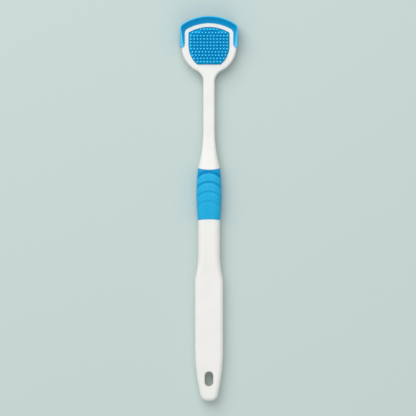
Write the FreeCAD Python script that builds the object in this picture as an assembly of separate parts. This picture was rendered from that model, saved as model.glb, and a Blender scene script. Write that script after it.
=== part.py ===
"""Tongue scraper: a stiff white handle with a soft scraping blade, a studded brush pad and a soft grip
moulded onto it.

Lengths are in millimetres. The tool lies on its back: +Z points up, out of the brushing face, and +Y runs
from the tail to the head. The origin is below the middle of the tool, on the surface that it lies on.
A station is a distance along the tool, counted from the tail end.
"""
import FreeCAD
import Part
import math
import os

# Paddle: the flat rear half of the handle, with a slot to hang it by
paddle_length = 60.4
paddle_width = 14.2
paddle_thickness = 7.4
paddle_edge_radius = 2.2
tail_taper_length = 26.0
tail_end_width = 7.4
tail_corner_radius = 3.6
slot_width = 4.2
slot_length = 7.4
slot_from_tail = 7.2
slot_edge_chamfer = 0.4

# Waist, between the paddle and the grip
flare_length = 12.8
waist_length = 17.0
waist_width = 11.0
waist_thickness = 7.2
waist_edge_radius = 3.2

# Grip: a soft barrel round a slimmer core, with arched grooves under the thumb
grip_length = 26.0
grip_swell = 0.9
grip_wall = 1.4
grip_front_dip = 0.8
grip_rear_dip = 0.4
core_embed = 3.0
groove_count = 4
groove_pitch = 4.88
groove_from_front = 2.1
groove_width = 0.7
groove_depth = 0.7
groove_fade = 0.15
groove_arch_radius = 7.8

# Neck and head, one flat moulding
taper_length = 19.0
neck_length = 24.3
neck_width = 5.8
neck_thickness = 4.2
neck_edge_radius = 1.2
throat_radius = 6.0
web_below_pad = 4.5
rim_width = 1.85
shoulder_drop = 0.7
shoulder_step = 0.7
pocket_depth = 2.4
tongue_reach = 1.3
tongue_thickness = 1.4

# Brush pad and its nubs
pad_width = 20.5
pad_length = 18.8
pad_foot_width = 11.6
pad_foot_length = 9.5
pad_arch_radius = 20.0
pad_corner_radius = 0.7
pad_thickness = 1.8
pad_lock_height = 0.8
pad_lock_reach = 0.4
nub_height = 2.6
nub_base_radius = 0.52
nub_tip_radius = 0.42
nub_column_pitch = 1.64
nub_row_pitch = 1.61
nub_first_row = 1.4
nub_margin = 0.8
nub_sides = 5

# Scraping blade, a raised lip round the front of the head
blade_reach = 3.65
blade_flank = 2.4
blade_arch_radius = 24.0
blade_corner_radius = 2.4
blade_back_chamfer = 0.5
lip_height = 2.4
lip_end_height = 0.5
lip_crest_width = 0.6
lip_side_crest_width = 1.2
lip_edge_chamfer = 0.2

# Bands that the curved lengths are built from
flare_band_count = 4
taper_band_count = 4
grip_band_count = 3

# Stations along the tool
waist_start = paddle_length + flare_length
grip_start = waist_start + waist_length
grip_end = grip_start + grip_length
grip_middle = grip_start + grip_length / 2
neck_start = grip_end + taper_length
neck_end = neck_start + neck_length

# Half widths of the head, from the axis
pad_half = pad_width / 2
rim_half = pad_half + rim_width
blade_half = rim_half + blade_flank
neck_half = neck_width / 2
bowl_radius = blade_half - shoulder_step

# Stations of the head
bowl_centre = neck_end + math.sqrt((bowl_radius + throat_radius) ** 2 - (neck_half + throat_radius) ** 2)
pad_foot = bowl_centre - bowl_radius + web_below_pad
pad_side = pad_foot + pad_foot_length
pad_top = pad_foot + pad_length
rim_top = pad_top + rim_width
blade_top = rim_top + blade_reach
shoulder = bowl_centre - shoulder_drop
shoulder_half = math.sqrt(bowl_radius**2 - shoulder_drop**2)
notch_radius = shoulder_half - rim_half
notch_top = shoulder + notch_radius
total_length = blade_top

# Heights above the surface that the tool lies on
spine = waist_thickness / 2 + grip_swell
grip_top = 2 * spine
waist_low = spine - waist_thickness / 2
waist_high = spine + waist_thickness / 2
head_back = spine - neck_thickness / 2
head_front = spine + neck_thickness / 2
pocket_floor = head_front - pocket_depth
pad_surface = pocket_floor + pad_thickness
crest = head_front + lip_height

ALONG_X = FreeCAD.Vector(1, 0, 0)
ALONG_Y = FreeCAD.Vector(0, 1, 0)
ALONG_Z = FreeCAD.Vector(0, 0, 1)
ORIGIN = FreeCAD.Vector(0, 0, 0)
SMALL = 0.001
BEYOND = 5.0


def point(x, station, z=0.0):
    """A place on the tool, given by its station."""
    return FreeCAD.Vector(x, station - total_length / 2, z)


def line(start, end):
    return Part.LineSegment(start, end).toShape()


def plan_arc(x, station, radius, start_angle, end_angle):
    """An arc seen from above, about a centre; angles are in degrees from +X towards +Y."""
    angles = [start_angle, (start_angle + end_angle) / 2, end_angle]
    places = [
        point(x + radius * math.cos(math.radians(a)), station + radius * math.sin(math.radians(a)))
        for a in angles
    ]
    return Part.Arc(*places).toShape()


def closed_wire(right_edges, z=0.0):
    """The outline whose right half is given, from the axis round to the axis, with its mirror image."""
    left_edges = [edge.mirror(ORIGIN, ALONG_X) for edge in right_edges]
    wire = Part.Wire(Part.__sortEdges__(right_edges + left_edges))
    wire.translate(ALONG_Z * z)
    return wire


def prism(right_edges, low, high):
    """The outline with this right half, from one height to another."""
    return Part.Face(closed_wire(right_edges, low)).extrude(ALONG_Z * (high - low))


def mix(start, end, share):
    return start + (end - start) * share


def rounded_section(station, width, low, high, radius):
    """A rounded rectangle across the tool."""
    side = width / 2
    inner = side - radius
    diagonal = radius * math.sqrt(0.5)
    corners = [(inner, low + radius, 1, -1), (inner, high - radius, 1, 1)]
    corners += [(-inner, high - radius, -1, 1), (-inner, low + radius, -1, -1)]
    arcs = []
    for x, z, x_sign, z_sign in corners:
        level = point(x + x_sign * radius, station, z)
        middle = point(x + x_sign * diagonal, station, z + z_sign * diagonal)
        upright = point(x, station, z + z_sign * radius)
        ends = (upright, middle, level) if x_sign * z_sign < 0 else (level, middle, upright)
        arcs.append(Part.Arc(*ends))
    edges = []
    for index, arc in enumerate(arcs):
        edges.append(arc.toShape())
        edges.append(line(arc.EndPoint, arcs[(index + 1) % len(arcs)].StartPoint))
    return Part.Wire(edges)


def bar(start, end, width, low, high, radius):
    """A straight length of one rounded section."""
    face = Part.Face(rounded_section(start, width, low, high, radius))
    return face.extrude(ALONG_Y * (end - start))


def shares(band_count):
    """Even steps from 0 to 1, one at each border of the bands."""
    return [index / band_count for index in range(band_count + 1)]


def arch_half(half_width, top, arch_radius, corner_radius, start):
    """Right half of an arched top: a straight side from a station, a rounded corner and half of the arch."""
    arch_centre = top - arch_radius
    corner_x = half_width - corner_radius
    corner = arch_centre + math.sqrt((arch_radius - corner_radius) ** 2 - corner_x**2)
    turn = math.degrees(math.atan2(corner - arch_centre, corner_x))
    return [
        line(point(half_width, start), point(half_width, corner)),
        plan_arc(corner_x, corner, corner_radius, 0, turn),
        plan_arc(0, arch_centre, arch_radius, turn, 90),
    ]


def drawn_in_side(half_width, end_width, length):
    """Centre, as a distance from the axis, and radius of an arc that draws a side in to a narrower end."""
    inwards = half_width - end_width / 2
    radius = (inwards**2 + length**2) / (2 * inwards)
    return half_width - radius, radius


def pad_half_outline(grow):
    """Right half of the pad's outline, moved outwards by a distance."""
    centre_x, radius = drawn_in_side(pad_half, pad_foot_width, pad_foot_length)
    foot = pad_foot - grow
    foot_angle = -math.degrees(math.asin((pad_side - foot) / (radius + grow)))
    side = plan_arc(centre_x, pad_side, radius + grow, foot_angle, 0)
    foot_end = side.Vertexes[0].Point
    arch = arch_half(
        pad_half + grow, pad_top + grow, pad_arch_radius + grow, pad_corner_radius + grow, pad_side
    )
    return [line(point(0, foot), foot_end), side] + arch


def rim_arch(start, grow=0.0):
    """Right half of the arched rim round the pad, moved outwards by a distance."""
    width = rim_width + grow
    return arch_half(
        pad_half + width, pad_top + width, pad_arch_radius + width, pad_corner_radius + width, start
    )


def throat_angle():
    """Direction, from the throat's centre, of the place where it runs into the bowl."""
    return math.degrees(math.atan2(bowl_centre - neck_end, -neck_half - throat_radius))


def bowl_half_outline(last_angle):
    """Right half of the neck, its throat and the round bowl, which is followed up to an angle."""
    turn = throat_angle()
    return [
        line(point(0, neck_start), point(neck_half, neck_start)),
        line(point(neck_half, neck_start), point(neck_half, neck_end)),
        plan_arc(neck_half + throat_radius, neck_end, throat_radius, 180, turn),
        plan_arc(0, bowl_centre, bowl_radius, turn - 180, last_angle),
    ]


def head_half_outline():
    """Right half of the neck and head: neck, throat, bowl, shoulder notch and rim."""
    tip_angle = -math.degrees(math.asin(shoulder_drop / bowl_radius))
    notch = plan_arc(shoulder_half, notch_top, notch_radius, -90, -180)
    return bowl_half_outline(tip_angle) + [notch] + rim_arch(notch_top)


def blade_half_outline():
    """Right half of the blade's outer edge, closed across the head at the shoulders."""
    end_radius = blade_half - shoulder_half
    return [
        line(point(0, shoulder), point(shoulder_half, shoulder)),
        plan_arc(shoulder_half, shoulder + end_radius, end_radius, -90, 0),
    ] + arch_half(blade_half, blade_top, blade_arch_radius, blade_corner_radius, shoulder + end_radius)


def tail_half_outline():
    """Right half of the paddle: straight sides that curve in to a rounded tail."""
    half = paddle_width / 2
    side_centre, side_radius = drawn_in_side(half, tail_end_width, tail_taper_length)
    inner_radius = side_radius - tail_corner_radius
    drop = tail_taper_length - tail_corner_radius
    corner_x = side_centre + math.sqrt(inner_radius**2 - drop**2)
    turn = -math.degrees(math.asin(drop / inner_radius))
    return [
        line(point(0, 0), point(corner_x, 0)),
        plan_arc(corner_x, tail_corner_radius, tail_corner_radius, -90, turn),
        plan_arc(side_centre, tail_taper_length, side_radius, turn, 0),
        line(point(half, tail_taper_length), point(half, paddle_length)),
        line(point(half, paddle_length), point(0, paddle_length)),
    ]


def slot_half_outline():
    """Right half of the hanging slot."""
    radius = slot_width / 2
    low = slot_from_tail + radius
    high = slot_from_tail + slot_length - radius
    return [
        plan_arc(0, low, radius, -90, 0),
        line(point(radius, low), point(radius, high)),
        plan_arc(0, high, radius, 0, 90),
    ]


def face_edges(shape, heights, first, last):
    """Edges that lie flat at one of the heights, between two stations."""
    found = []
    for edge in shape.Edges:
        box = edge.BoundBox
        flat = any(abs(box.ZMin - z) < SMALL and abs(box.ZMax - z) < SMALL for z in heights)
        inside = point(0, first).y - SMALL < box.YMin and box.YMax < point(0, last).y + SMALL
        if flat and inside:
            found.append(edge)
    return found


def make_paddle():
    plate = prism(tail_half_outline(), 0, paddle_thickness)
    rim = face_edges(plate, (0, paddle_thickness), 0, paddle_length)
    rim = [edge for edge in rim if edge.BoundBox.YMin < point(0, paddle_length).y - SMALL]
    plate = plate.makeFillet(paddle_edge_radius, rim)
    plate = plate.cut(prism(slot_half_outline(), -BEYOND, paddle_thickness + BEYOND))
    slot_end = slot_from_tail + slot_length
    mouth = face_edges(plate, (0, paddle_thickness), slot_from_tail, slot_end)
    mouth = [edge for edge in mouth if edge.BoundBox.XMax < slot_width / 2 + SMALL]
    mouth = [edge for edge in mouth if edge.BoundBox.XMin > -slot_width / 2 - SMALL]
    return plate.makeChamfer(slot_edge_chamfer, mouth)


def make_flare():
    """From the flat paddle up to the rounder waist."""
    sections = []
    for share in shares(flare_band_count):
        ease = share * share * (3 - 2 * share)
        sections.append(
            rounded_section(
                paddle_length + share * flare_length,
                mix(waist_width, paddle_width, (1 - share) ** 2),
                mix(0, waist_low, ease),
                mix(paddle_thickness, waist_high, ease),
                mix(paddle_edge_radius, waist_edge_radius, ease),
            )
        )
    return Part.makeLoft(sections, True, True)


def make_taper():
    """From the grip down to the slim neck."""
    sections = []
    for share in shares(taper_band_count):
        ease = (1 - share) ** 2
        half_thickness = mix(neck_thickness, waist_thickness, ease) / 2
        sections.append(
            rounded_section(
                grip_end + share * taper_length,
                mix(neck_width, waist_width, ease),
                spine - half_thickness,
                spine + half_thickness,
                mix(neck_edge_radius, waist_edge_radius, ease),
            )
        )
    return Part.makeLoft(sections, True, True)


def swell_at(station):
    """How far the grip stands out beyond the waist at a station, on an arc over its length."""
    half = grip_length / 2
    radius = (half**2 + grip_swell**2) / (2 * grip_swell)
    return math.sqrt(radius**2 - (station - grip_middle) ** 2) - radius + grip_swell


def make_barrel():
    """The outer shape of the grip: the waist's section, swelling evenly towards the middle."""
    sections = []
    for share in shares(grip_band_count):
        station = grip_start + share * grip_length
        swell = swell_at(station)
        sections.append(
            rounded_section(
                station,
                waist_width + 2 * swell,
                waist_low - swell,
                waist_high + swell,
                waist_edge_radius + swell,
            )
        )
    return Part.makeLoft(sections, True, True)


def grip_end_arc(station, dip, towards):
    """Right half of a curved end of the grip; it dips towards the grip's middle at the axis."""
    radius = ((waist_width / 2) ** 2 + dip**2) / (2 * dip)
    reach = waist_width / 2 + 2 * grip_swell
    centre = station + towards * (radius - dip)
    side = -towards * 90
    turn = towards * math.degrees(math.asin(reach / radius))
    return plan_arc(0, centre, radius, side, side + turn)


def make_grip_zone():
    """The stretch of the handle that the grip takes, between its two curved ends."""
    front = grip_end_arc(grip_end, grip_front_dip, 1)
    rear = grip_end_arc(grip_start, grip_rear_dip, -1)
    side = line(front.Vertexes[1].Point, rear.Vertexes[1].Point)
    return prism([front, side, rear], -BEYOND, grip_top + BEYOND)


def make_core():
    """The slimmer length of handle inside the grip."""
    return bar(
        grip_start - core_embed,
        grip_end + core_embed,
        waist_width - 2 * grip_wall,
        waist_low + grip_wall,
        waist_high - grip_wall,
        waist_edge_radius - grip_wall,
    )


def make_head():
    """Neck and head in one, with the tongue that the blade grips and the pocket that holds the pad."""
    plate = prism(bowl_half_outline(90), head_back, head_front)
    rounded = face_edges(plate, (head_back, head_front), neck_start, total_length)
    rounded = [edge for edge in rounded if edge.BoundBox.YMax > point(0, neck_start).y + SMALL]
    plate = plate.makeFillet(neck_edge_radius, rounded)
    plate = plate.common(prism(head_half_outline(), head_back, head_front))
    rim_base = line(point(0, notch_top), point(rim_half, notch_top))
    rim = prism([rim_base] + rim_arch(notch_top), head_back, head_front)
    pocket = prism(pad_half_outline(0), pocket_floor, head_front + BEYOND)
    return plate.fuse([rim, make_tongue()]).cut(pocket.fuse(make_pad_lock()))


def make_tongue():
    """A flange round the front of the rim, for the blade to hold on to."""
    base = line(point(0, notch_top), point(rim_half + tongue_reach, notch_top))
    low = spine - tongue_thickness / 2
    return prism([base] + rim_arch(notch_top, tongue_reach), low, low + tongue_thickness)


def make_pad_lock():
    """The undercut at the foot of the pocket that keeps the pad in."""
    return prism(pad_half_outline(pad_lock_reach), pocket_floor, pocket_floor + pad_lock_height)


def make_handle(grip_zone):
    """The whole white moulding."""
    waist_shape = (waist_width, waist_low, waist_high, waist_edge_radius)
    waist = bar(waist_start, grip_start + grip_rear_dip + SMALL, *waist_shape)
    front = bar(grip_end - grip_front_dip - SMALL, grip_end, *waist_shape)
    rear_half = make_paddle().fuse([make_flare(), waist])
    front_half = make_head().fuse([make_taper(), front])
    return rear_half.cut(grip_zone).fuse([front_half.cut(grip_zone), make_core()]).removeSplitter()


def make_groove(barrel, index):
    """What one arched groove takes off the front of the grip; it fades out towards the sides."""
    centre = grip_end - groove_from_front - index * groove_pitch - groove_arch_radius
    outer = groove_arch_radius + groove_width / 2
    inner = groove_arch_radius - groove_width / 2
    band = [
        plan_arc(0, centre, outer, 90, 0),
        line(point(outer, centre), point(inner, centre)),
        plan_arc(0, centre, inner, 0, 90),
    ]
    floor = barrel.copy()
    floor.translate(ALONG_Z * (index * groove_fade - groove_depth))
    return prism(band, spine, grip_top + BEYOND).cut(floor)


def make_grip(grip_zone):
    """The soft barrel, moulded round the core."""
    barrel = make_barrel()
    grooves = [make_groove(barrel, index) for index in range(groove_count)]
    return barrel.common(grip_zone).cut([make_core()] + grooves).removeSplitter()


def nub_reach(station):
    """How far from the axis a nub may stand at a station, with its margin to the pad's edge."""
    centre_x, radius = drawn_in_side(pad_half, pad_foot_width, pad_foot_length)
    arch_centre = pad_top - pad_arch_radius
    reach = pad_half - nub_margin
    if station < pad_side:
        reach = centre_x + math.sqrt((radius - nub_margin) ** 2 - (pad_side - station) ** 2)
    across = (pad_arch_radius - nub_margin) ** 2 - (station - arch_centre) ** 2
    return min(reach, math.sqrt(across)) if across > 0 else None


def nub_places():
    """Rows of nubs from the pad's foot to its arch, each with as many as fit, centred on the axis."""
    places = []
    station = pad_foot + nub_first_row
    while nub_reach(station) is not None:
        count = math.floor(2 * nub_reach(station) / nub_column_pitch) + 1
        first = -nub_column_pitch * (count - 1) / 2
        places += [(first + column * nub_column_pitch, station) for column in range(count)]
        station += nub_row_pitch
    return places


def nub_ring(x, station, radius, z):
    """Corners of a nub's many-sided outline at a height."""
    turns = [2 * math.pi * side / nub_sides for side in range(nub_sides)]
    return [point(x + radius * math.cos(turn), station + radius * math.sin(turn), z) for turn in turns]


def make_nub(x, station):
    """One tapered nub with flat sides, rooted halfway down the pad."""
    root = pad_thickness / 2
    slope = (nub_base_radius - nub_tip_radius) / nub_height
    lower = nub_ring(x, station, nub_base_radius + slope * root, pad_surface - root)
    upper = nub_ring(x, station, nub_tip_radius, pad_surface + nub_height)
    outlines = [lower, upper]
    for side in range(nub_sides):
        ahead = (side + 1) % nub_sides
        outlines.append([lower[side], lower[ahead], upper[ahead], upper[side]])
    faces = [Part.Face(Part.makePolygon(corners + corners[:1])) for corners in outlines]
    return Part.makeSolid(Part.Shell(faces))


def make_pad():
    """The soft pad in its pocket, with the nubs that stand on it."""
    base = prism(pad_half_outline(0), pocket_floor, pad_surface).fuse(make_pad_lock())
    nubs = [make_nub(x, station) for x, station in nub_places()]
    return base.fuse(nubs).removeSplitter()


def lip_fall():
    """What is taken off the blade's flanks, so that the lip falls away to the shoulders."""
    arch_centre = blade_top - blade_arch_radius
    corner_x = blade_half - blade_corner_radius
    level = arch_centre + math.sqrt((blade_arch_radius - blade_corner_radius) ** 2 - corner_x**2)
    run = level - shoulder
    rise = lip_height - lip_end_height
    radius = (run**2 + rise**2) / (2 * rise)
    middle = math.asin(run / radius) / 2
    fall = radius * (1 - math.cos(middle))
    low = point(-2 * blade_half, shoulder, crest - rise)
    halfway = point(-2 * blade_half, level - radius * math.sin(middle), crest - fall)
    high = point(-2 * blade_half, level, crest)
    above = ALONG_Z * BEYOND
    edges = [Part.Arc(low, halfway, high).toShape(), line(high, high + above)]
    edges += [line(high + above, low + above), line(low + above, low)]
    return Part.Face(Part.Wire(edges)).extrude(ALONG_X * (4 * blade_half))


def lip_hollow():
    """The sloping inside of the lip, from the rim's front edge out to the crest."""
    start = shoulder - bowl_radius / 2
    lower = [line(point(0, start), point(rim_half, start))] + rim_arch(start)
    inset = lip_crest_width
    upper_half = blade_half - lip_side_crest_width
    upper = [line(point(0, start), point(upper_half, start))]
    upper += arch_half(
        upper_half, blade_top - inset, blade_arch_radius - inset, blade_corner_radius - inset, start
    )
    return Part.makeLoft([closed_wire(lower, head_front), closed_wire(upper, crest)], True, True)


def lip_outer_edges(block):
    """Edges of the blade's top, except those that run straight across the head."""
    found = []
    for edge in block.Edges:
        across = isinstance(edge.Curve, Part.Line) and abs(edge.Curve.Direction.x) > 1 - SMALL
        if edge.BoundBox.ZMin > head_front and not across:
            found.append(edge)
    return found


def make_blade():
    """The soft lip round the front of the head, moulded over the rim's tongue."""
    block = prism(blade_half_outline(), head_back, crest).cut(lip_fall())
    block = block.makeChamfer(lip_edge_chamfer, lip_outer_edges(block))
    back = face_edges(block, (head_back,), shoulder, blade_top)
    back = [edge for edge in back if edge.BoundBox.YMax > point(0, shoulder).y + SMALL]
    block = block.makeChamfer(blade_back_chamfer, back)
    head = prism(head_half_outline(), head_back - BEYOND, crest + BEYOND)
    return block.cut([lip_hollow(), head, make_tongue()]).removeSplitter()


def export(shape, name):
    if not shape.isValid() or len(shape.Solids) != 1:
        raise ValueError(f"{name} is not one valid solid: {len(shape.Solids)} solids")
    shape.Solids[0].exportStep(f"parts/{name}.step")
    box = shape.BoundBox
    print(f"{name}: {shape.Volume:.1f} mm3, {box.XLength:.2f} x {box.YLength:.2f} x {box.ZLength:.2f} mm")


def main():
    os.makedirs("parts", exist_ok=True)
    grip_zone = make_grip_zone()
    export(make_handle(grip_zone), "handle")
    export(make_grip(grip_zone), "grip_sleeve")
    export(make_pad(), "bristle_pad")
    export(make_blade(), "scraper_blade")


main()
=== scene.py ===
"""Looks of the tongue scraper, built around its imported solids.

Lengths are in metres, in the frame of the solids: the tool lies on its back, +Z points up out of the
brushing face and +Y runs from the tail to the head. The stiff handle is its solid with softened edges.
The three soft mouldings are built again with their fine forms: a grooved grip, a lipped blade and a pad
of rounded nubs.
"""
import math
import random

import bmesh
import bpy
from mathutils import Color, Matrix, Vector
from mathutils.kdtree import KDTree


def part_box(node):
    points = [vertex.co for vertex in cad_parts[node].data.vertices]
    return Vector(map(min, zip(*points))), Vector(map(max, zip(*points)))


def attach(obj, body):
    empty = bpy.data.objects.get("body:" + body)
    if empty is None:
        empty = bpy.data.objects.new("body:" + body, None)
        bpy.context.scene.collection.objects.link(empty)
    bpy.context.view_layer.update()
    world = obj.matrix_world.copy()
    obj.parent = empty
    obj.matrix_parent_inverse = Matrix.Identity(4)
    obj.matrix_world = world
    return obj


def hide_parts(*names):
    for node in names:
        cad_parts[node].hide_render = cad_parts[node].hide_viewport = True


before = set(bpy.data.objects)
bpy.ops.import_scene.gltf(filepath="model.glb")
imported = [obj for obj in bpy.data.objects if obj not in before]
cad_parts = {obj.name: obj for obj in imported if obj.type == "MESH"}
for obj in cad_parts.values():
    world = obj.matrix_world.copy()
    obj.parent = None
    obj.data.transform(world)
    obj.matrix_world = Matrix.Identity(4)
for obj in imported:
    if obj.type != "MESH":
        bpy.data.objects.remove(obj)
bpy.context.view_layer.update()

MM = 0.001

# Camera, straight above the brushing face
VIEW_WIDTH = 208.0 * MM
VIEW_OFFSET_X = -0.5 * MM
VIEW_OFFSET_Y = 0.2 * MM
CAMERA_HEIGHT = 1.6
SENSOR_WIDTH = 36.0

# Light: an even room, a large soft lamp beyond the head and a weaker one beyond the tail
ROOM_STRENGTH = 0.485
KEY_PLACE = (-0.37, 0.82, 1.05)
KEY_SIZE = 1.3
KEY_POWER = 14.3
FILL_PLACE = (0.2, -0.95, 0.85)
FILL_SIZE = 0.9
FILL_POWER = 2.6

# Floor
FLOOR_SIZE = 6.0
FLOOR_ROUGHNESS = 0.9
FLOOR_GLOSS = 0.1

# Colours, as sRGB values up to the full one; the blues go from deep over plain to pale,
# the deep end for painted shade and the pale end for painted highlights
SRGB_FULL = 255
WHITE = (242, 240, 235)
WHITE_DRIFT = (238, 237, 232)
# The three pieces are one blue rubber; each set of blues is tuned to the light on its piece, and the
# pad's is brighter to make up for the shade among its nubs
GRIP_BLUES = ((0, 136, 196), (34, 174, 222), (112, 219, 252))
BLADE_BLUES = ((0, 140, 201), (20, 174, 226), (112, 219, 252))
PAD_BLUES = ((0, 145, 196), (0, 187, 235), (84, 219, 255))
FLOOR_COLOUR = (198, 213, 209)
ROOM_COLOUR = (250, 252, 255)

# Finishes; a roughness has a least and a greatest value, and patches are counted per metre
WHITE_ROUGHNESS = (0.32, 0.42)
WHITE_GLOSS = 0.45
WHITE_GRAIN_SIZE = 0.35 * MM
WHITE_GRAIN_DEPTH = 0.012 * MM
WHITE_DRIFT_PATCHES = 140.0
WHITE_DRIFT_STOPS = (0.35, 0.65)
BLUE_ROUGHNESS = (0.42, 0.54)
BLUE_GLOSS = 0.1
BLUE_GRAIN_SIZE = 0.2 * MM
BLUE_GRAIN_DEPTH = 0.02 * MM
BLUE_DRIFT_PATCHES = 160.0
DRIFT_DETAIL = 3.0
ROUGHNESS_PATCHES = 420.0
ROUGHNESS_DETAIL = 5.0
ROUGHNESS_NOISE = (0.3, 0.7)
GRAIN_STRENGTH = 0.6
GRAIN_DETAIL = 4.0

# Tones of the blue, from deep to pale: painted shade and painted highlights that stand in for light
TONE_DEEP = 0.0
TONE_PLAIN = 0.5
TONE_PALE = 1.0
TONE_DRIFT = 0.16
# Painted shade in the grip's grooves and a painted highlight along their rims
GROOVE_PAINTED_SHADE = TONE_DEEP
GROOVE_RIM_PAINTED_HIGHLIGHT = 0.06
# Painted shade on the blade's inner slope, deepest under the crest and lighter on the flanks, and a
# painted highlight on its crest
SLOPE_TOP_PAINTED_SHADE = TONE_DEEP
SLOPE_FOOT_PAINTED_SHADE = 0.4
SIDE_SLOPE_TOP_PAINTED_SHADE = 0.3
SIDE_SLOPE_FOOT_PAINTED_SHADE = 0.5
CREST_PAINTED_HIGHLIGHT = 0.85
# Painted shade at the pad's edge and round the nubs' feet, and painted highlights on the nubs' tips
PAD_EDGE_PAINTED_SHADE = 0.05
PAD_FLOOR_PAINTED_SHADE = 0.44
TONE_STEM = 0.5
TIP_PAINTED_HIGHLIGHT = TONE_PALE
TIP_HIGHLIGHT_RISE = 1.4

# Handle; angles in degrees
HANDLE_WELD = 0.002 * MM
HANDLE_FLAT_ANGLE = 0.5
HANDLE_SHARP_ANGLE = 30.0
HANDLE_EDGE_ROUND = 0.12 * MM
HANDLE_EDGE_STEPS = 2

# Grip
WAIST_HALF = 5.5 * MM
GRIP_EDGE_RADIUS = 3.2 * MM
GRIP_WALL = 1.4 * MM
FRONT_DIP = 0.8 * MM
REAR_DIP = 0.4 * MM
GROOVE_COUNT = 4
GROOVE_PITCH = 4.88 * MM
GROOVE_FROM_FRONT = 2.1 * MM
GROOVE_ARCH_RADIUS = 7.8 * MM
GROOVE_DEPTH = 0.7 * MM
GROOVE_FADE = 0.15 * MM
GROOVE_FLOOR = 0.3 * MM
GROOVE_STEEP = 0.4 * MM
GROOVE_GENTLE = 0.6 * MM
GROOVE_SHADE_POWER = 3
# Where the painted highlight behind each groove lies and how far it spreads
GROOVE_LIP_BEHIND = 1.0 * MM
GROOVE_LIP_REACH = 0.8 * MM
CRESCENT_SLOPE = 1.3 * MM
# Painted shade on the crescent ahead of the first groove
CRESCENT_SHADE = 0.3
GROOVE_SIDE_START = 0.1
GROOVE_SIDE_FULL = 0.6
SEAM_ROUND = 0.35 * MM
SEAM_DEPTH = 0.12 * MM
GRIP_ROWS = 230
GRIP_TOP_STEPS = 28
GRIP_TOP_CORNER_STEPS = 34
GRIP_SIDE_STEPS = 4
GRIP_BACK_CORNER_STEPS = 14
GRIP_BACK_STEPS = 10

# Blade; its arch steps go along its side, its corner and half of its arch
RIM_WIDTH = 1.85 * MM
BLADE_ARCH_RADIUS = 24.0 * MM
BLADE_CORNER_RADIUS = 2.4 * MM
BLADE_BACK_ROUND = 0.6 * MM
BLADE_SEAM = 0.06 * MM
SHOULDER_DROP = 0.7 * MM
SHOULDER_STEP = 0.7 * MM
LIP_HEIGHT = 2.4 * MM
LIP_END_HEIGHT = 0.5 * MM
LIP_CREST_WIDTH = 0.6 * MM
LIP_SIDE_CREST_WIDTH = 1.2 * MM
LIP_WIDENING = 5.0 * MM
LIP_OUTER_ROUND = 0.6 * MM
LIP_INNER_ROUND = 0.5 * MM
LEAST_SLOPE_SHARE = 0.3
CORNER_SHARE = 0.45
CORNER_STEPS = 7
BLADE_END_STEPS = 14
BLADE_ARCH_STEPS = (16, 12, 44)

# Pad; its arch steps as the blade's, and angles in degrees
PAD_LOCK_REACH = 0.4 * MM
PAD_ARCH_RADIUS = 20.0 * MM
PAD_CORNER_RADIUS = 0.7 * MM
PAD_FOOT_WIDTH = 11.6 * MM
PAD_FOOT_LENGTH = 9.5 * MM
PAD_EDGE_ROUND = 0.3 * MM
PAD_EDGE_ANGLES = (30.0, 60.0, 90.0)
PAD_CLEARANCE = 0.02 * MM
PAD_FOOT_STEPS = 12
PAD_SIDE_STEPS = 24
PAD_ARCH_STEPS = (12, 6, 36)

# Nubs; their rings lie at shares of the flare and of the stem, and at angles of the dome in degrees
NUB_HEIGHT = 2.6 * MM
NUB_BASE_RADIUS = 0.54 * MM
NUB_TIP_RADIUS = 0.46 * MM
NUB_DOME_START = NUB_HEIGHT - NUB_TIP_RADIUS
NUB_FLARE = 0.22 * MM
NUB_FLARE_HEIGHT = 0.33 * MM
NUB_FLARE_SHARES = (0.0, 0.3, 0.6, 1.0)
NUB_STEM_SHARES = (0.35, 0.7, 1.0)
NUB_DOME_ANGLES = (22.5, 45.0, 67.5, 84.0)
NUB_COLUMN_PITCH = 1.64 * MM
NUB_ROW_PITCH = 1.61 * MM
NUB_FIRST_ROW = 1.4 * MM
NUB_MARGIN = 0.8 * MM
NUB_SIDES = 14
NUB_LEAN = 0.04 * MM
NUB_SHORTFALL = 0.05 * MM
NUB_SEED = 5

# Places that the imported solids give
grip_low, grip_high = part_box("grip_sleeve")
pad_low, pad_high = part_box("bristle_pad")
blade_low, blade_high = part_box("scraper_blade")
spine = (grip_low.z + grip_high.z) / 2
grip_swell = grip_high.x - WAIST_HALF
pad_half = pad_high.x - PAD_LOCK_REACH
pad_foot = pad_low.y + PAD_LOCK_REACH
pad_top = pad_high.y - PAD_LOCK_REACH
pad_side = pad_foot + PAD_FOOT_LENGTH
pad_surface = pad_high.z - NUB_HEIGHT
rim_half = pad_half + RIM_WIDTH
rim_top = pad_top + RIM_WIDTH
blade_half = blade_high.x
blade_top = blade_high.y
shoulder = blade_low.y
bowl_radius = blade_half - SHOULDER_STEP
shoulder_half = math.sqrt(bowl_radius**2 - SHOULDER_DROP**2)
notch_radius = shoulder_half - rim_half
crest = blade_high.z
head_face = crest - LIP_HEIGHT


# Shared lines and meshes


def ease(share):
    """A smooth run from 0 to 1."""
    share = min(max(share, 0.0), 1.0)
    return share * share * (3 - 2 * share)


def mix(start, end, share):
    """The value at a share of the way from a start to an end."""
    return start + (end - start) * share


def shares(count):
    """Evenly spaced shares after 0, up to 1."""
    return [(index + 1) / count for index in range(count)]


def straight(start, end, count):
    """Points after the start of a straight run, up to its end."""
    return [tuple(mix(a, b, share) for a, b in zip(start, end)) for share in shares(count)]


def arc(centre, radius, start_angle, end_angle, count):
    """Points after the start of an arc, up to its end; angles are in degrees."""
    turns = [math.radians(mix(start_angle, end_angle, share)) for share in shares(count)]
    return [(centre[0] + radius * math.cos(t), centre[1] + radius * math.sin(t)) for t in turns]


def arc_radius(run, drop):
    """Radius of an arc that starts level and drops by an amount over a run."""
    return (run**2 + drop**2) / (2 * drop)


def mirrored(points):
    """The right half of a line, which ends on the axis, followed by its mirror image."""
    return points + [(-x, y) for x, y in reversed(points[:-1])]


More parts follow.
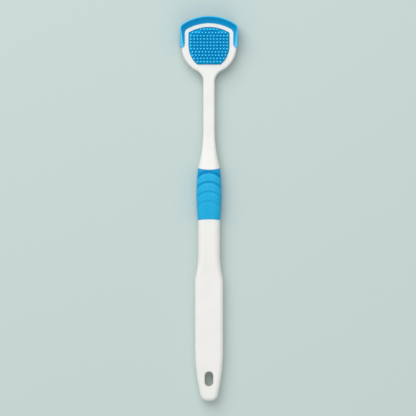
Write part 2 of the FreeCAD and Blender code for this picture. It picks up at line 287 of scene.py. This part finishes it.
def corner_station(half_width, top, arch_radius, corner_radius):
    """Where the centre of an arched outline's rounded corner lies along the tool."""
    across = half_width - corner_radius
    return top - arch_radius + math.sqrt((arch_radius - corner_radius) ** 2 - across**2)


def arch_points(half_width, top, arch_radius, corner_radius, start, steps):
    """Right half of an arched outline: a side from a station, a rounded corner and half of the arch."""
    side_steps, corner_steps, arch_steps = steps
    arch_centre = (0.0, top - arch_radius)
    corner = (half_width - corner_radius, corner_station(half_width, top, arch_radius, corner_radius))
    turn = math.degrees(math.atan2(corner[1] - arch_centre[1], corner[0]))
    points = straight((half_width, start), (half_width, corner[1]), side_steps)
    points += arc(corner, corner_radius, 0, turn, corner_steps)
    return points + arc(arch_centre, arch_radius, turn, 90, arch_steps)


def ring_faces(first, second, count):
    """Faces between two closed rings of points, given by the number of each ring's first point."""
    faces = []
    for index in range(count):
        ahead = (index + 1) % count
        faces.append((first + index, first + ahead, second + ahead, second + index))
    return faces


def cap(first, count):
    """A face over a closed ring of points, given by the number of its first point."""
    return tuple(range(first, first + count))


def smooth_mesh(name, points, faces):
    """A mesh of these points and faces, shaded smooth."""
    mesh = bpy.data.meshes.new(name)
    mesh.from_pydata(points, [], faces)
    mesh.polygons.foreach_set("use_smooth", [True] * len(mesh.polygons))
    mesh.validate()
    mesh.update()
    return mesh


def joined(name, meshes):
    """One closed mesh from two that overlap, which are removed."""
    parts = [bpy.data.objects.new(mesh.name, mesh) for mesh in meshes]
    for part in parts:
        bpy.context.scene.collection.objects.link(part)
    union = parts[0].modifiers.new("union", "BOOLEAN")
    union.operation = "UNION"
    union.solver = "EXACT"
    union.object = parts[1]
    whole = parts[0].evaluated_get(bpy.context.evaluated_depsgraph_get())
    union_mesh = bpy.data.meshes.new_from_object(whole)
    union_mesh.name = name
    for part in parts:
        bpy.data.objects.remove(part)
    for mesh in meshes:
        bpy.data.meshes.remove(mesh)
    return union_mesh


def set_tones(mesh, tones):
    """Stores the tone of the blue at each point of a mesh."""
    mesh.attributes.new("tone", "FLOAT", "POINT").data.foreach_set("value", tones)


def place_piece(mesh, node, material):
    """Puts a mesh into the scene as the piece that stands for a solid."""
    mesh.materials.clear()
    mesh.materials.append(material)
    piece = bpy.data.objects.new(mesh.name, mesh)
    bpy.context.scene.collection.objects.link(piece)
    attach(piece, "root")
    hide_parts(node)
    return piece


# Materials


def linear(colour):
    """An sRGB colour as the linear colour that a shader takes."""
    srgb = Color([value / SRGB_FULL for value in colour])
    return (*srgb.from_srgb_to_scene_linear(), 1.0)


def noise(material, scale, detail):
    """The value of a noise texture that is laid out in the frame of the object."""
    nodes = material.node_tree.nodes
    texture = nodes.new("ShaderNodeTexNoise")
    texture.inputs["Scale"].default_value = scale
    texture.inputs["Detail"].default_value = detail
    place = nodes["Texture Coordinate"].outputs["Object"]
    material.node_tree.links.new(place, texture.inputs["Vector"])
    return texture.outputs["Fac"]


def moulded_material(name, roughness, gloss, grain_size, grain_depth):
    """A plastic with an uneven gloss and the fine grain of its mould; its pigment is added later."""
    material = bpy.data.materials.new(name)
    material.use_nodes = True
    nodes = material.node_tree.nodes
    links = material.node_tree.links
    nodes.new("ShaderNodeTexCoord")
    shader = nodes["Principled BSDF"]
    shader.inputs["Specular IOR Level"].default_value = gloss
    uneven = nodes.new("ShaderNodeMapRange")
    uneven.inputs["From Min"].default_value = ROUGHNESS_NOISE[0]
    uneven.inputs["From Max"].default_value = ROUGHNESS_NOISE[1]
    uneven.inputs["To Min"].default_value = roughness[0]
    uneven.inputs["To Max"].default_value = roughness[1]
    links.new(noise(material, ROUGHNESS_PATCHES, ROUGHNESS_DETAIL), uneven.inputs["Value"])
    links.new(uneven.outputs["Result"], shader.inputs["Roughness"])
    grain = nodes.new("ShaderNodeBump")
    grain.inputs["Strength"].default_value = GRAIN_STRENGTH
    grain.inputs["Distance"].default_value = grain_depth
    links.new(noise(material, 1 / grain_size, GRAIN_DETAIL), grain.inputs["Height"])
    links.new(grain.outputs["Normal"], shader.inputs["Normal"])
    return material


def add_pigment(material, stops, value):
    """Colours a material by a value, along a ramp of positions and sRGB colours."""
    nodes = material.node_tree.nodes
    links = material.node_tree.links
    ramp = nodes.new("ShaderNodeValToRGB")
    elements = ramp.color_ramp.elements
    for position, colour in stops[1:-1]:
        elements.new(position)
    for element, (position, colour) in zip(elements, stops):
        element.position = position
        element.color = linear(colour)
    links.new(value, ramp.inputs["Fac"])
    links.new(ramp.outputs["Color"], nodes["Principled BSDF"].inputs["Base Color"])


def white_material():
    """Stiff white plastic, whose pigment drifts a little."""
    material = moulded_material(
        "white_plastic", WHITE_ROUGHNESS, WHITE_GLOSS, WHITE_GRAIN_SIZE, WHITE_GRAIN_DEPTH
    )
    stops = list(zip(WHITE_DRIFT_STOPS, (WHITE_DRIFT, WHITE)))
    add_pigment(material, stops, noise(material, WHITE_DRIFT_PATCHES, DRIFT_DETAIL))
    return material


def blue_material(name, blues):
    """Soft blue rubber with painted shade in recesses, painted highlights on rims and tips, and a slight
    drift.
    """
    material = moulded_material(name, BLUE_ROUGHNESS, BLUE_GLOSS, BLUE_GRAIN_SIZE, BLUE_GRAIN_DEPTH)
    nodes = material.node_tree.nodes
    links = material.node_tree.links
    # The tone attribute carries painted shade and painted highlights; the drift is the rubber's own
    tone = nodes.new("ShaderNodeAttribute")
    tone.attribute_name = "tone"
    drift = nodes.new("ShaderNodeMath")
    drift.operation = "MULTIPLY_ADD"
    links.new(noise(material, BLUE_DRIFT_PATCHES, DRIFT_DETAIL), drift.inputs[0])
    drift.inputs[1].default_value = TONE_DRIFT
    drift.inputs[2].default_value = -TONE_DRIFT / 2
    total = nodes.new("ShaderNodeMath")
    links.new(tone.outputs["Fac"], total.inputs[0])
    links.new(drift.outputs["Value"], total.inputs[1])
    stops = list(zip((TONE_DEEP, TONE_PLAIN, TONE_PALE), blues))
    add_pigment(material, stops, total.outputs["Value"])
    return material


# The handle


def make_handle(material):
    """The handle's solid with its facets joined, its edges softened and its curves shaded smooth."""
    flat_angle = math.radians(HANDLE_FLAT_ANGLE)
    sharp_angle = math.radians(HANDLE_SHARP_ANGLE)
    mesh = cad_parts["handle"].data.copy()
    mesh.name = "stiff_handle"
    mesh.attributes.remove(mesh.attributes["custom_normal"])
    work = bmesh.new()
    work.from_mesh(mesh)
    bmesh.ops.remove_doubles(work, verts=work.verts, dist=HANDLE_WELD)
    bmesh.ops.dissolve_limit(work, angle_limit=flat_angle, verts=work.verts, edges=work.edges)
    for face in work.faces:
        face.smooth = True
    for edge in work.edges:
        edge.smooth = edge.calc_face_angle(0.0) < sharp_angle
    work.to_mesh(mesh)
    work.free()
    handle = place_piece(mesh, "handle", material)
    bevel = handle.modifiers.new("edges", "BEVEL")
    bevel.width = HANDLE_EDGE_ROUND
    bevel.segments = HANDLE_EDGE_STEPS
    bevel.angle_limit = sharp_angle
    handle.modifiers.new("shading", "WEIGHTED_NORMAL")


# The grip


def grip_swell_at(y):
    """How far the grip stands out beyond the waist, on an arc over its length."""
    half = (grip_high.y - grip_low.y) / 2
    radius = arc_radius(half, grip_swell)
    offset = min(abs(y - (grip_low.y + half)), half)
    return math.sqrt(radius**2 - offset**2) - radius + grip_swell


def grip_columns():
    """Places round the waist's rounded section, each with its outward direction."""
    inner_x = WAIST_HALF - GRIP_EDGE_RADIUS
    inner_z = grip_high.z - spine - grip_swell - GRIP_EDGE_RADIUS
    corners = [(inner_x, inner_z), (-inner_x, inner_z), (-inner_x, -inner_z), (inner_x, -inner_z)]
    steps = [
        (GRIP_TOP_CORNER_STEPS, GRIP_TOP_STEPS),
        (GRIP_TOP_CORNER_STEPS, GRIP_SIDE_STEPS),
        (GRIP_BACK_CORNER_STEPS, GRIP_BACK_STEPS),
        (GRIP_BACK_CORNER_STEPS, GRIP_SIDE_STEPS),
    ]
    columns = []
    for index, (corner_steps, flat_steps) in enumerate(steps):
        centre = corners[index]
        following = corners[(index + 1) % len(corners)]
        start_angle = 90 * index
        for share in [0.0] + shares(corner_steps):
            columns.append((*centre, math.radians(start_angle + 90 * share)))
        for x, z in straight(centre, following, flat_steps)[:-1]:
            columns.append((x, z, math.radians(start_angle + 90)))
    return columns


def grip_end(x, station, dip, towards):
    """Where an end of the grip lies at a distance from the axis; it dips inwards most on the axis."""
    radius = arc_radius(WAIST_HALF, dip)
    return station + towards * (radius - dip - math.sqrt(radius**2 - x**2))


def groove_at(x, y):
    """Depth, painted shade and painted highlight of the arched thumb grooves at a place.

    Each has a flat floor, a steep wall towards the head and a gentler one behind it, all with painted
    shade, and a painted highlight along the rim behind that. The crescent ahead of the first keeps a
    painted shade.
    """
    drop = 0.0
    shade = 0.0
    highlight = 0.0
    for index in range(GROOVE_COUNT):
        centre = grip_high.y - GROOVE_FROM_FRONT - index * GROOVE_PITCH - GROOVE_ARCH_RADIUS
        ahead = math.hypot(x, max(y - centre, 0.0)) - GROOVE_ARCH_RADIUS
        full_depth = GROOVE_DEPTH - index * GROOVE_FADE
        wall = GROOVE_GENTLE
        if ahead > 0:
            wall = CRESCENT_SLOPE if index == 0 else GROOVE_STEEP
        depth = full_depth * (1 - ease((abs(ahead) - GROOVE_FLOOR) / wall))
        drop = max(drop, depth)
        shade = max(shade, (depth / GROOVE_DEPTH) ** GROOVE_SHADE_POWER)
        if index == 0 and ahead > 0:
            shade = max(shade, CRESCENT_SHADE)
        # A painted highlight along the rim behind each groove's gentle wall
        if y > centre:
            lip = 1 - ease(abs(ahead + GROOVE_LIP_BEHIND) / GROOVE_LIP_REACH)
            highlight = max(highlight, lip * full_depth / GROOVE_DEPTH)
    return drop, shade, highlight


def grip_point(column, share):
    """A place on the grip's outside and its tone, by its column and its share of the way forward."""
    centre_x, centre_z, turn = column
    out_x = math.cos(turn)
    out_z = math.sin(turn)
    guess = mix(grip_low.y, grip_high.y, share)
    x = centre_x + out_x * (GRIP_EDGE_RADIUS + grip_swell_at(guess))
    front = grip_end(x, grip_high.y, FRONT_DIP, 1)
    rear = grip_end(x, grip_low.y, REAR_DIP, -1)
    y = mix(rear, front, share)
    stand = GRIP_EDGE_RADIUS + grip_swell_at(y)
    from_seam = min(y - rear, front - y)
    stand -= SEAM_DEPTH * max(1 - from_seam / SEAM_ROUND, 0.0) ** 2
    side_share = (out_z - GROOVE_SIDE_START) / (GROOVE_SIDE_FULL - GROOVE_SIDE_START)
    drop, shade, highlight = (ease(side_share) * value for value in groove_at(x, y))
    # Painted shade in the grooves and on the crescent, and a painted highlight on the grooves' rims
    tone = mix(TONE_PLAIN, GROOVE_PAINTED_SHADE, shade) + GROOVE_RIM_PAINTED_HIGHLIGHT * highlight
    return (centre_x + out_x * stand, y, spine + centre_z + out_z * stand - drop), tone


def make_grip(material):
    """The soft grip: rings from its rear to its front outside, and back to the rear through its bore."""
    columns = grip_columns()
    count = len(columns)
    bore_radius = GRIP_EDGE_RADIUS - GRIP_WALL
    points = []
    tones = []
    for row in range(GRIP_ROWS + 1):
        for column in columns:
            point, tone = grip_point(column, row / GRIP_ROWS)
            points.append(point)
            tones.append(tone)
    for station, dip, towards in ((grip_high.y, FRONT_DIP, 1), (grip_low.y, REAR_DIP, -1)):
        for centre_x, centre_z, turn in columns:
            x = centre_x + math.cos(turn) * bore_radius
            z = spine + centre_z + math.sin(turn) * bore_radius
            points.append((x, grip_end(x, station, dip, towards), z))
            tones.append(TONE_PLAIN)
    faces = []
    rings = list(range(0, len(points), count))
    for first, second in zip(rings, rings[1:] + rings[:1]):
        faces += ring_faces(second, first, count)
    mesh = smooth_mesh("soft_grip", points, faces)
    set_tones(mesh, tones)
    place_piece(mesh, "grip_sleeve", material)


# The blade


def lip_fall_start():
    """The station from which the lip falls away: the centre of the blade's rounded corners."""
    return corner_station(blade_half, blade_top, BLADE_ARCH_RADIUS, BLADE_CORNER_RADIUS)


def lip_top(y):
    """Height of the lip, which falls away along the flanks to the shoulders."""
    level = lip_fall_start()
    radius = arc_radius(level - shoulder, LIP_HEIGHT - LIP_END_HEIGHT)
    return crest - radius + math.sqrt(radius**2 - max(level - y, 0.0) ** 2)


def rounded_corner(before, corner, after, radius):
    """Points of a rounded corner between two straight runs, of which it takes a limited share."""
    corner = Vector(corner)
    ends = []
    for other in (before, after):
        away = Vector(other) - corner
        ends.append(corner + away * min(radius / away.length, CORNER_SHARE))
    points = []
    for step in range(CORNER_STEPS):
        share = step / (CORNER_STEPS - 1)
        first = ends[0].lerp(corner, share)
        second = corner.lerp(ends[1], share)
        points.append(tuple(first.lerp(second, share)))
    return points


def blade_section(inner, outer):
    """The blade's section at a station, as shares of the way out from the rim, heights and tones."""
    width = (Vector(outer) - Vector(inner)).length
    top = lip_top(outer[1])
    widening_start = lip_fall_start() + LIP_WIDENING / 2
    side_share = ease((widening_start - outer[1]) / LIP_WIDENING)
    crest_width = mix(LIP_CREST_WIDTH, LIP_SIDE_CREST_WIDTH, side_share)
    slope_width = max(width - crest_width, LEAST_SLOPE_SHARE * width)
    crest_start = slope_width * (top - head_face) / LIP_HEIGHT
    # Painted shade down the inner slope, lighter on the flanks
    slope_top_shade = mix(SLOPE_TOP_PAINTED_SHADE, SIDE_SLOPE_TOP_PAINTED_SHADE, side_share)
    slope_foot_shade = mix(SLOPE_FOOT_PAINTED_SHADE, SIDE_SLOPE_FOOT_PAINTED_SHADE, side_share)
    # The crest gets a painted highlight and the inner slope painted shade
    corners = [
        ((0.0, blade_low.z), BLADE_SEAM, TONE_PLAIN, TONE_PLAIN),
        ((width, blade_low.z), BLADE_BACK_ROUND, TONE_PLAIN, TONE_PLAIN),
        ((width, top), LIP_OUTER_ROUND, TONE_PLAIN, CREST_PAINTED_HIGHLIGHT),
        ((crest_start, top), LIP_INNER_ROUND, CREST_PAINTED_HIGHLIGHT, slope_top_shade),
        ((0.0, head_face - BLADE_SEAM), BLADE_SEAM, slope_foot_shade, slope_foot_shade),
    ]
    section = []
    for index, (corner, radius, start_tone, end_tone) in enumerate(corners):
        before = corners[index - 1][0]
        after = corners[(index + 1) % len(corners)][0]
        for step, (across, height) in enumerate(rounded_corner(before, corner, after, radius)):
            tone = mix(start_tone, end_tone, step / (CORNER_STEPS - 1))
            section.append((across / width, height, tone))
    return section


def blade_stations():
    """Pairs of places on the rim and on the blade's outer line, from one shoulder to the other."""
    end_radius = blade_half - shoulder_half
    end_top = shoulder + end_radius
    outer = arc((shoulder_half, end_top), end_radius, -90, 0, BLADE_END_STEPS)
    outer += arch_points(
        blade_half, blade_top, BLADE_ARCH_RADIUS, BLADE_CORNER_RADIUS, end_top, BLADE_ARCH_STEPS
    )
    notch_top = shoulder + notch_radius
    rim_arch_radius = PAD_ARCH_RADIUS + RIM_WIDTH
    rim_corner_radius = PAD_CORNER_RADIUS + RIM_WIDTH
    inner = arc((shoulder_half, notch_top), notch_radius, -90, -180, BLADE_END_STEPS)
    inner += arch_points(
        rim_half, rim_top, rim_arch_radius, rim_corner_radius, notch_top, BLADE_ARCH_STEPS
    )
    return list(zip(mirrored(inner), mirrored(outer)))


def make_blade(material):
    """The soft blade: its section, carried from one shoulder round the front to the other."""
    points = []
    tones = []
    stations = blade_stations()
    for inner, outer in stations:
        for share, height, tone in blade_section(inner, outer):
            points.append((*Vector(inner).lerp(Vector(outer), share), height))
            tones.append(tone)
    count = len(points) // len(stations)
    faces = [cap(0, count), cap(len(points) - count, count)[::-1]]
    for index in range(len(stations) - 1):
        faces += ring_faces((index + 1) * count, index * count, count)
    mesh = smooth_mesh("soft_blade", points, faces)
    set_tones(mesh, tones)
    place_piece(mesh, "scraper_blade", material)


# The pad


def drawn_in_side():
    """Centre, as a distance from the axis, and radius of the arc that draws the pad's side in."""
    inwards = pad_half - PAD_FOOT_WIDTH / 2
    radius = arc_radius(PAD_FOOT_LENGTH, inwards)
    return pad_half - radius, radius


def pad_outline(inset):
    """The pad's outline, moved inwards by a distance."""
    centre_x, radius = drawn_in_side()
    radius -= inset
    foot = pad_foot + inset
    foot_angle = -math.degrees(math.asin((pad_side - foot) / radius))
    foot_x = centre_x + radius * math.cos(math.radians(foot_angle))
    right = straight((0.0, foot), (foot_x, foot), PAD_FOOT_STEPS)
    right += arc((centre_x, pad_side), radius, foot_angle, 0, PAD_SIDE_STEPS)
    right += arch_points(
        pad_half - inset,
        pad_top - inset,
        PAD_ARCH_RADIUS - inset,
        PAD_CORNER_RADIUS - inset,
        pad_side,
        PAD_ARCH_STEPS,
    )
    return mirrored(right) + [(0.0, foot)]


def slab_mesh():
    """The flat body of the pad, with a rounded upper edge."""
    levels = [(PAD_CLEARANCE, pad_low.z), (PAD_CLEARANCE, pad_surface - PAD_EDGE_ROUND)]
    for angle in PAD_EDGE_ANGLES:
        turn = math.radians(angle)
        inset = PAD_CLEARANCE + PAD_EDGE_ROUND * (1 - math.cos(turn))
        levels.append((inset, pad_surface - PAD_EDGE_ROUND * (1 - math.sin(turn))))
    points = []
    for inset, height in levels:
        points += [(x, y, height) for x, y in pad_outline(inset)]
    count = len(points) // len(levels)
    faces = []
    for level in range(len(levels) - 1):
        faces += ring_faces(level * count, (level + 1) * count, count)
    faces.append(cap(len(points) - count, count))
    faces.append(cap(0, count)[::-1])
    return smooth_mesh("slab", points, faces)


def nub_reach(y):
    """How far from the axis a nub may stand at a station, or None beyond the pad's arch."""
    centre_x, radius = drawn_in_side()
    reach = pad_half - NUB_MARGIN
    if y < pad_side:
        reach = centre_x + math.sqrt((radius - NUB_MARGIN) ** 2 - (pad_side - y) ** 2)
    across = (PAD_ARCH_RADIUS - NUB_MARGIN) ** 2 - (y - pad_top + PAD_ARCH_RADIUS) ** 2
    return min(reach, math.sqrt(across)) if across > 0 else None


def nub_places():
    """Rows of nubs from the pad's foot to its arch, each with as many as fit, centred on the axis."""
    places = []
    y = pad_foot + NUB_FIRST_ROW
    reach = nub_reach(y)
    while reach is not None:
        count = math.floor(2 * reach / NUB_COLUMN_PITCH) + 1
        first = -NUB_COLUMN_PITCH * (count - 1) / 2
        places += [(first + column * NUB_COLUMN_PITCH, y) for column in range(count)]
        y += NUB_ROW_PITCH
        reach = nub_reach(y)
    return places


def nub_profile():
    """Radius and height of a nub's rings: a sunk and flared foot, a tapering stem and a domed tip."""
    profile = [(NUB_BASE_RADIUS + NUB_FLARE, -NUB_FLARE)]
    for share in NUB_FLARE_SHARES:
        profile.append((NUB_BASE_RADIUS + NUB_FLARE * (1 - share) ** 2, NUB_FLARE_HEIGHT * share))
    for share in NUB_STEM_SHARES:
        radius = mix(NUB_BASE_RADIUS, NUB_TIP_RADIUS, share)
        profile.append((radius, mix(NUB_FLARE_HEIGHT, NUB_DOME_START, share)))
    for angle in NUB_DOME_ANGLES:
        turn = math.radians(angle)
        rise = NUB_TIP_RADIUS * math.sin(turn)
        profile.append((NUB_TIP_RADIUS * math.cos(turn), NUB_DOME_START + rise))
    return profile


def add_nub(points, faces, place, profile, lean):
    """Adds one nub, turned from its radii and heights and leaning a little with its height."""
    rings = []
    for radius, height in profile:
        rings.append(len(points))
        share = height / NUB_HEIGHT
        centre_x = place[0] + lean[0] * share
        centre_y = place[1] + lean[1] * share
        for side in range(NUB_SIDES):
            turn = 2 * math.pi * side / NUB_SIDES
            x = centre_x + radius * math.cos(turn)
            y = centre_y + radius * math.sin(turn)
            points.append((x, y, pad_surface + height))
    for first, second in zip(rings, rings[1:]):
        faces += ring_faces(first, second, NUB_SIDES)
    faces.append(cap(rings[-1], NUB_SIDES))
    faces.append(cap(rings[0], NUB_SIDES)[::-1])


def nubs_mesh():
    """The nubs, each a closed shape whose foot is sunk into the slab."""
    points = []
    faces = []
    chance = random.Random(NUB_SEED)
    profile = nub_profile()
    for place in nub_places():
        lean = (chance.uniform(-NUB_LEAN, NUB_LEAN), chance.uniform(-NUB_LEAN, NUB_LEAN))
        stretch = 1 - chance.random() * NUB_SHORTFALL / NUB_HEIGHT
        stretched = [(radius, height * stretch) for radius, height in profile]
        add_nub(points, faces, place, stretched, lean)
    return smooth_mesh("nubs", points, faces)


def nub_tone(height):
    """A nub's tone by height: slight painted shade at its foot, a painted highlight on its dome."""
    if height < NUB_DOME_START:
        return mix(PAD_FLOOR_PAINTED_SHADE, TONE_STEM, max(height, 0.0) / NUB_DOME_START)
    return mix(TONE_STEM, TIP_PAINTED_HIGHLIGHT, ease(TIP_HIGHLIGHT_RISE * (height - NUB_DOME_START) / NUB_TIP_RADIUS))


def pad_tones(mesh):
    """The pad's tone at each point: by its height on a nub, and painted shade at the pad's edge."""
    places = nub_places()
    feet = KDTree(len(places))
    for index, (x, y) in enumerate(places):
        feet.insert((x, y, 0.0), index)
    feet.balance()
    nub_radius = NUB_BASE_RADIUS + NUB_FLARE + NUB_LEAN
    tones = []
    for vertex in mesh.vertices:
        x, y, z = vertex.co
        from_nub = feet.find((x, y, 0.0))[2]
        tones.append(nub_tone(z - pad_surface) if from_nub < nub_radius else PAD_EDGE_PAINTED_SHADE)
    return tones


def make_pad(material):
    """The soft pad: a slab and its nubs, joined into one mesh."""
    mesh = joined("soft_pad", [slab_mesh(), nubs_mesh()])
    set_tones(mesh, pad_tones(mesh))
    place_piece(mesh, "bristle_pad", material)


# The stage


def add_floor():
    """The plain floor that the tool lies on."""
    half = FLOOR_SIZE / 2
    corners = [(-half, -half, 0.0), (half, -half, 0.0), (half, half, 0.0), (-half, half, 0.0)]
    mesh = bpy.data.meshes.new("floor")
    mesh.from_pydata(corners, [], [cap(0, len(corners))])
    floor = bpy.data.objects.new("floor", mesh)
    bpy.context.scene.collection.objects.link(floor)
    material = bpy.data.materials.new("floor_paint")
    material.use_nodes = True
    shader = material.node_tree.nodes["Principled BSDF"]
    shader.inputs["Base Color"].default_value = linear(FLOOR_COLOUR)
    shader.inputs["Roughness"].default_value = FLOOR_ROUGHNESS
    shader.inputs["Specular IOR Level"].default_value = FLOOR_GLOSS
    mesh.materials.append(material)


def add_room():
    """The even light of the room."""
    world = bpy.data.worlds.new("room")
    world.use_nodes = True
    background = world.node_tree.nodes["Background"]
    background.inputs["Color"].default_value = linear(ROOM_COLOUR)
    background.inputs["Strength"].default_value = ROOM_STRENGTH
    bpy.context.scene.world = world


def add_lamp(name, place, size, power):
    """A square soft lamp, turned to the middle of the tool."""
    data = bpy.data.lights.new(name, "AREA")
    data.size = size
    data.energy = power
    lamp = bpy.data.objects.new(name, data)
    lamp.location = place
    lamp.rotation_euler = (-Vector(place)).to_track_quat("-Z", "Y").to_euler()
    bpy.context.scene.collection.objects.link(lamp)


def add_camera():
    """The camera, which looks straight down and takes in the view's width at the spine's height."""
    data = bpy.data.cameras.new("camera")
    data.sensor_width = SENSOR_WIDTH
    data.lens = SENSOR_WIDTH * CAMERA_HEIGHT / VIEW_WIDTH
    camera = bpy.data.objects.new("camera", data)
    camera.location = (VIEW_OFFSET_X, VIEW_OFFSET_Y, spine + CAMERA_HEIGHT)
    bpy.context.scene.collection.objects.link(camera)
    bpy.context.scene.camera = camera


def main():
    """Builds the four pieces and the stage round them."""
    bpy.context.scene.view_settings.view_transform = "Standard"
    make_handle(white_material())
    make_grip(blue_material("blue_soft_grip", GRIP_BLUES))
    make_blade(blue_material("blue_soft_blade", BLADE_BLUES))
    make_pad(blue_material("blue_soft_pad", PAD_BLUES))
    add_floor()
    add_room()
    add_lamp("key", KEY_PLACE, KEY_SIZE, KEY_POWER)
    add_lamp("fill", FILL_PLACE, FILL_SIZE, FILL_POWER)
    add_camera()


main()
